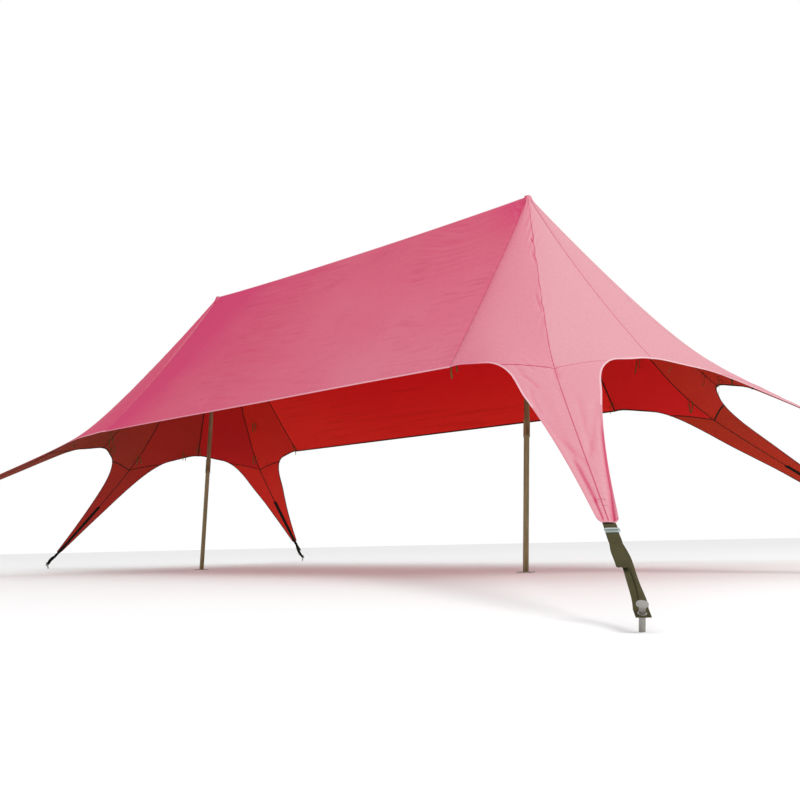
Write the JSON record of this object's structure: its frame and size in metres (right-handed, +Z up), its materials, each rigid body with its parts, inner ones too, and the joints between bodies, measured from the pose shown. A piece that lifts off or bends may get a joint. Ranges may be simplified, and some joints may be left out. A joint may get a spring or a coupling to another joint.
{
  "type": "twin-mast star tent",
  "caption": "Pink ridge canopy stretched over two masts, with six tapering legs held to ground pegs by webbing straps.",
  "frame": {"origin": "on the ground, midway between the two mast heads", "axes": "+X along the ridge towards the right-hand mast, +Z up, -Y the near long side"},
  "size_m": [17.5524, 10.8666, 4.8],
  "materials": {
    "canopy_fabric": "coated woven polyester, pink outside, red where light comes through",
    "strap_webbing": "olive grey woven webbing",
    "mast_paint": "dull olive brown paint",
    "zinc_steel": "zinc plated, dull"
  },
  "bodies": {
    "root": {"buckle_far_left": "zinc_steel", "buckle_far_right": "zinc_steel", "buckle_left_end": "zinc_steel", "buckle_near_left": "zinc_steel", "buckle_near_right": "zinc_steel", "buckle_right_end": "zinc_steel", "crown_gore_far_left_end_side": "canopy_fabric", "crown_gore_far_left_ridge_side": "canopy_fabric", "crown_gore_far_right_end_side": "canopy_fabric", "crown_gore_far_right_ridge_side": "canopy_fabric", "crown_gore_left_end_far_side": "canopy_fabric", "crown_gore_left_end_near_side": "canopy_fabric", "crown_gore_near_left_end_side": "canopy_fabric", "crown_gore_near_left_ridge_side": "canopy_fabric", "crown_gore_near_right_end_side": "canopy_fabric", "crown_gore_near_right_ridge_side": "canopy_fabric", "crown_gore_right_end_far_side": "canopy_fabric", "crown_gore_right_end_near_side": "canopy_fabric", "leg_panel_far_left": "canopy_fabric", "leg_panel_far_right": "canopy_fabric", "leg_panel_left_end": "canopy_fabric", "leg_panel_near_left": "canopy_fabric", "leg_panel_near_right": "canopy_fabric", "leg_panel_right_end": "canopy_fabric", "mast_left_cap": "zinc_steel", "mast_left_foot": "zinc_steel", "mast_left_lower_tube": "mast_paint", "mast_left_upper_tube": "mast_paint", "mast_right_cap": "zinc_steel", "mast_right_foot": "zinc_steel", "mast_right_lower_tube": "mast_paint", "mast_right_upper_tube": "mast_paint", "peg_far_left": "zinc_steel", "peg_far_right": "zinc_steel", "peg_left_end": "zinc_steel", "peg_near_left": "zinc_steel", "peg_near_right": "zinc_steel", "peg_right_end": "zinc_steel", "ridge_panel_far": "canopy_fabric", "ridge_panel_near": "canopy_fabric", "strap_far_left": "strap_webbing", "strap_far_right": "strap_webbing", "strap_left_end": "strap_webbing", "strap_near_left": "strap_webbing", "strap_near_right": "strap_webbing", "strap_right_end": "strap_webbing"}
  },
  "joints": []
}
